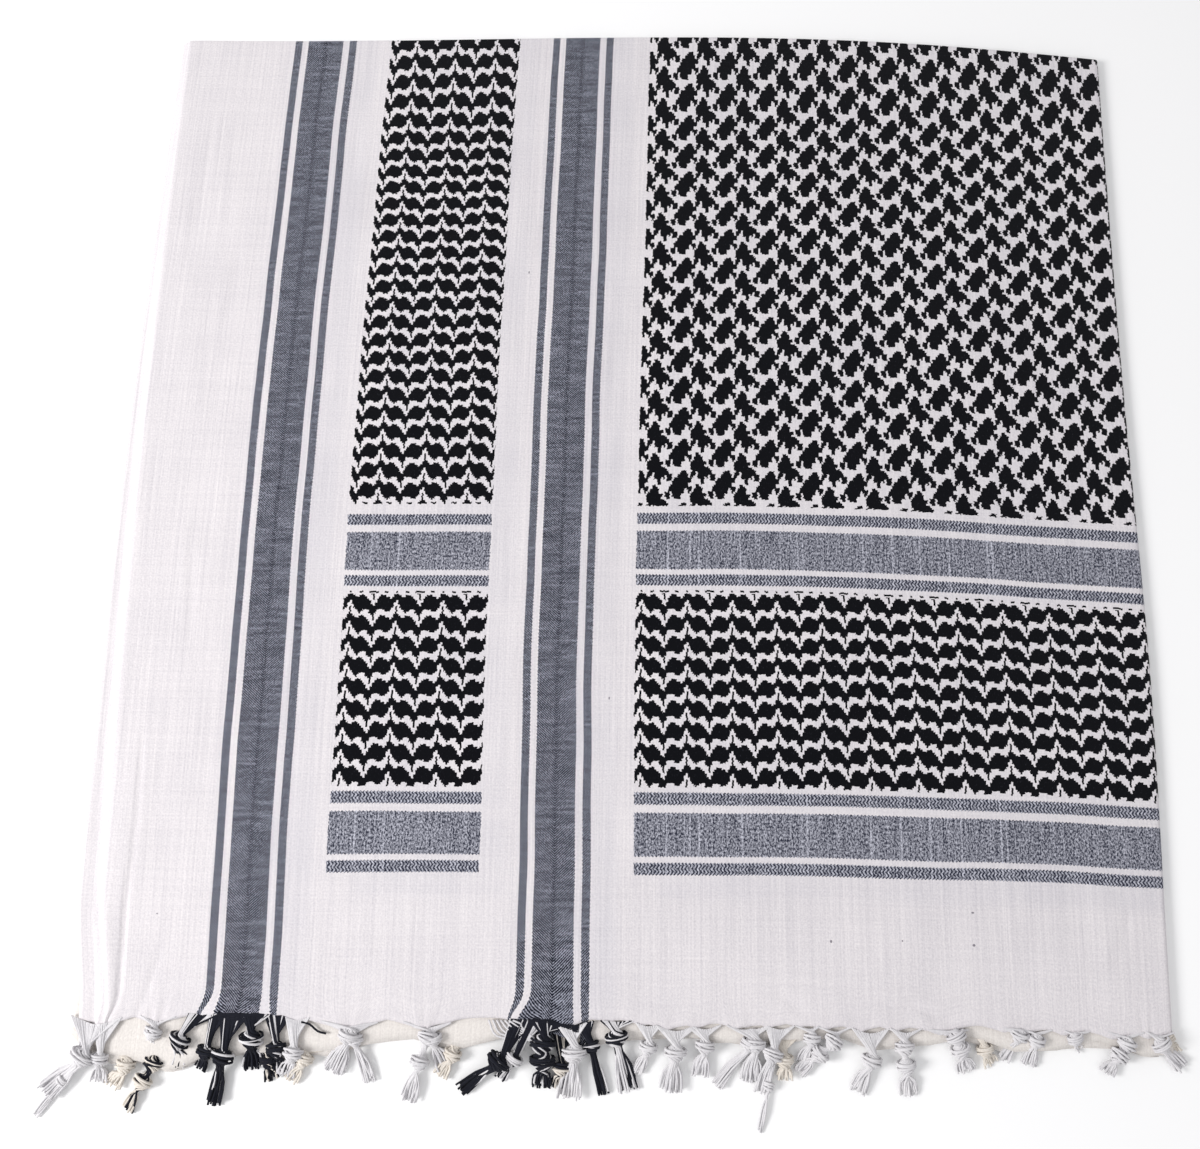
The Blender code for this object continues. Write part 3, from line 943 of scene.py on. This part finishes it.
def tassel(row, rng, hem, hem_z, rest_z):
    """Yarns gathered from the hem, twisted through each knot, and splayed in a brush."""
    row = dict(zip(TASSEL_KEYS, row))
    size = row["size"]
    count = max(int(round(THREADS * size)), 4)
    low, high = row["at"] - row["gather"] / 2, row["at"] + row["gather"] / 2
    first_x, first_y = row["at"] + row["aside"], -row["drop"]
    tail_x, tail_y = first_x + row["lean"], first_y - row["tail"]
    knots = [(first_x, first_y)]
    if row["knots"] > 1:
        knots.append((first_x + 0.4 * row["lean"], first_y - 0.4 * row["tail"]))
    knot_radius = KNOT_RADIUS * size**0.5
    knot_length = KNOT_LENGTH * size**0.35
    rise = knot_radius * KNOT_FLAT + THREAD
    centres = []
    for order, (x, y) in enumerate(knots):
        ground = rest_z if order == 0 else rest_z * 0.45
        centres.append(Vector((x, y, ground + rise)))
    end = Vector((tail_x, tail_y, 1.2))
    stops = [Vector(((low + high) / 2, 0.0, hem_z((low + high) / 2)))] + centres + [end]
    for number in range(count):
        share = (number + 0.5) / count
        look = thread_look(row["look"], rng)
        start_x = low + (high - low) * (share + rng.uniform(-0.3, 0.3) / count)
        start_y = float(hem(np.array([start_x]))[0]) + 1.6
        start = Vector((start_x, start_y, hem_z(start_x) + 0.1))
        path = [start]
        phase = 2 * pi * share + rng.uniform(-0.3, 0.3)
        inner = rng.uniform(0.55, 1.0)
        for order, centre in enumerate(centres):
            turns = KNOT_TURNS if order % 2 == 0 else -KNOT_TURNS
            path += knot_turn(
                centre, stops[order], stops[order + 2], phase, turns, knot_radius * inner, knot_length
            )
        tail_axis = (end - centres[-1])
        across = Vector((-tail_axis.y, tail_axis.x, 0)).normalized()
        spread = (share - 0.5) * row["wide"] + rng.uniform(-0.6, 0.6)
        stop = end + across * spread + tail_axis.normalized() * rng.uniform(-1.6, 1.2)
        stop.z = rng.uniform(0.5, 1.0 + 1.6 * size)
        bend = centres[-1].lerp(stop, 0.55) + across * (spread * 0.22 + rng.uniform(-0.5, 0.5))
        bend.z = rng.uniform(0.8, 2.4) + 0.6 * size
        path += [bend, stop]
        strand(look, smooth_path(path, 2))
    collar(row, rng, centres, stops, knot_radius)


def collar(row, rng, centres, stops, knot_radius):
    """The turn of the knot that lies across the others."""
    for order, centre in enumerate(centres):
        axis = (stops[order + 2] - stops[order]).normalized()
        side = axis.cross(Vector((0, 0, 1))).normalized()
        up = side.cross(axis)
        for ring in range(3):
            look = thread_look(row["look"], rng)
            tilt = rng.uniform(-0.5, 0.5)
            slide = (ring - 1) * 1.1 * THREAD * 2 - 0.6
            points = []
            for step in range(13):
                angle = 2 * pi * step / 12
                lean = tilt * sin(angle + ring) * knot_radius * 0.5
                offset = side * cos(angle) * knot_radius * 1.12
                offset += up * sin(angle) * knot_radius * 0.74
                points.append(centre + axis * (slide + lean) + offset)
            strand(look, points, THREAD * 1.15)


def strands_object(name, look, material):
    """All the yarns of one colour as one mesh of tubes."""
    curve = bpy.data.curves.new(name, "CURVE")
    curve.dimensions = "3D"
    curve.bevel_depth = 1.0 * MM
    curve.bevel_resolution = 1
    curve.use_fill_caps = True
    for points, radius in strands.pop(look, []):
        spline = curve.splines.new("POLY")
        spline.points.add(len(points) - 1)
        for target, point in zip(spline.points, points):
            target.co = (*world(point.x, point.y, point.z), 1.0)
            target.radius = radius
    holder = bpy.data.objects.new(name, curve)
    bpy.context.scene.collection.objects.link(holder)
    graph = bpy.context.evaluated_depsgraph_get()
    mesh = bpy.data.meshes.new_from_object(holder.evaluated_get(graph))
    bpy.data.objects.remove(holder)
    mesh.name = name
    mesh.materials.clear()
    mesh.materials.append(material)
    mesh.shade_smooth()
    made = bpy.data.objects.new(name, mesh)
    bpy.context.scene.collection.objects.link(made)
    PIECES[name] = made
    return made


# ---------------------------------------------------------------- building

WHITE = srgb(237, 232, 233)
SHADE = srgb(193, 189, 195)
BLACK = srgb(3, 4, 10)
CREAM = srgb(238, 233, 228)
CREAM_SHADE = srgb(204, 198, 194)

cotton_front = cotton("cotton_front", WHITE, SHADE, BLACK, 0.16, slubs=True)
cotton_under = cotton(
    "cotton_under", CREAM, CREAM_SHADE, BLACK, 0.0, slubs=False, hem_fade=True,
)
thread_white = thread("thread_white", srgb(232, 230, 231), srgb(184, 182, 187))
thread_cream = thread("thread_cream", srgb(234, 228, 220), srgb(196, 187, 176))
thread_black = thread("thread_black", srgb(12, 13, 20), srgb(38, 40, 50))

fine = 3.0
fine_edge = 1.5
front = cloth_layer(
    "front_quarter", FRONT_LEVEL, cotton_front, (0.0, QUARTER), (0.0, QUARTER), front_hem,
    right_drop=FRONT_LEVEL - LOWEST_LEVEL, top_drop=FRONT_LEVEL - SECOND_LEVEL,
    fine=fine_edge, coarse=fine, height=front_height, tassels=FRONT_TASSELS,
)
second = cloth_layer(
    "second_quarter", SECOND_LEVEL, cotton_under, (13.0, QUARTER), (-2.0, 528.0), under_hem,
    right_drop=SECOND_LEVEL - THIRD_LEVEL, mirror_v=True,
)
third = cloth_layer(
    "third_quarter", THIRD_LEVEL, cotton_under, (9.0, 528.0), (-3.0, QUARTER), under_hem,
    top_drop=THIRD_LEVEL - LOWEST_LEVEL, mirror_u=True, mirror_v=True,
)
lowest = cloth_layer(
    "lowest_quarter", LOWEST_LEVEL, cotton_under, (6.0, 528.0), (-1.0, 528.0), under_hem,
    mirror_u=True, peek=10.0,
)

rng = random.Random(11)
for low, high in ((72, 94), (222, 244)):
    for line in range(6):
        places = np.linspace(low, high, 7)
        drops = front_hem(places) - 0.8 + 0.55 * line + 0.3 * np.sin(places + line)
        lie = [(x, y, hem_height(x) + 0.35) for x, y in zip(places, drops)]
        strand("black", smooth_path(lie, 3))
loose = [(112, -3, 5.4), (116, -4, 5.2), (120, -7, 5.0), (124, -8, 4.8)]
strand("black", smooth_path(loose, 3))

# White ends that sag beside the second stripe, on the way to its first knot.
for line in range(7):
    start = 201 + 1.9 * line
    sag = 7.6 - 0.9 * line
    arc = [(start, -0.6, 5.5), (start + 4, -sag, 5.4), (217, -sag - 1.5, 5.3), (224, -9.6, 5.4)]
    strand("white", smooth_path([Vector(p) for p in arc], 4))
for row in FRONT_TASSELS:
    tassel(row, rng, front_hem, hem_height, 2.2)
white_fringe = strands_object("fringe_white_yarn", "white", thread_white)
black_fringe = strands_object("fringe_black_yarn", "black", thread_black)
for row in UNDER_TASSELS:
    tassel(row, rng, under_hem, lambda x: 2.2, 0.4)
under_fringe = strands_object("under_fringe_yarn", "white", thread_cream)
under_black_fringe = strands_object("under_fringe_black_yarn", "black", thread_black)

# ---------------------------------------------------------------- the frame's table

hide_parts("cloth_front")
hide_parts("cloth_folded")
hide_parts("fringe_front")
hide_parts("fringe_under")
for piece in PIECES.values():
    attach(piece, "root")

# ---------------------------------------------------------------- floor, light and camera


def stage():
    """A plain pale floor, soft light with the key from the left, and the camera above the hem."""
    bpy.ops.mesh.primitive_plane_add(size=12.0, location=(0, 0, 0))
    floor = bpy.context.object
    floor.name = "floor"
    graph = Graph("floor_white")
    place = graph.node("ShaderNodeTexCoord").outputs["Object"]
    tone = graph.range(graph.noise(place, 3.0, 2.0), 0.3, 0.7, 0.0, 1.0)
    graph.finish(graph.mix(tone, (0.96, 0.96, 0.96), (0.97, 0.97, 0.97)), roughness=1.0, sheen=0.0)
    floor.data.materials.append(graph.material)

    def area(name, place, target, size, power, color):
        light = bpy.data.lights.new(name, "AREA")
        light.shape = "DISK"
        light.size = size
        light.energy = power
        light.color = color
        lamp = bpy.data.objects.new(name, light)
        lamp.location = place
        lamp.rotation_euler = (Vector(target) - Vector(place)).to_track_quat("-Z", "Y").to_euler()
        bpy.context.scene.collection.objects.link(lamp)

    area("key", (-1.35, -0.35, 0.95), (-0.1, -0.05, 0), 0.6, 22.0, (1.0, 0.99, 0.985))
    area("fill", (1.4, -1.0, 1.6), (0, 0, 0), 1.4, 2.0, (0.97, 0.98, 1.0))
    sky = bpy.data.worlds.new("sky")
    sky.use_nodes = True
    sky.node_tree.nodes["Background"].inputs[0].default_value = (0.985, 0.985, 1.0, 1.0)
    sky.node_tree.nodes["Background"].inputs[1].default_value = 0.67
    bpy.context.scene.world = sky

    lens = bpy.data.cameras.new("camera")
    lens.sensor_width = 36.0
    lens.lens = 33.0
    camera = bpy.data.objects.new("camera", lens)
    camera.location = (-0.0158, -0.1604, 0.564)
    camera.rotation_euler = (radians(13.09), radians(-0.52), radians(1.0))
    bpy.context.scene.collection.objects.link(camera)
    bpy.context.scene.camera = camera
    bpy.context.scene.view_settings.view_transform = "Standard"


stage()
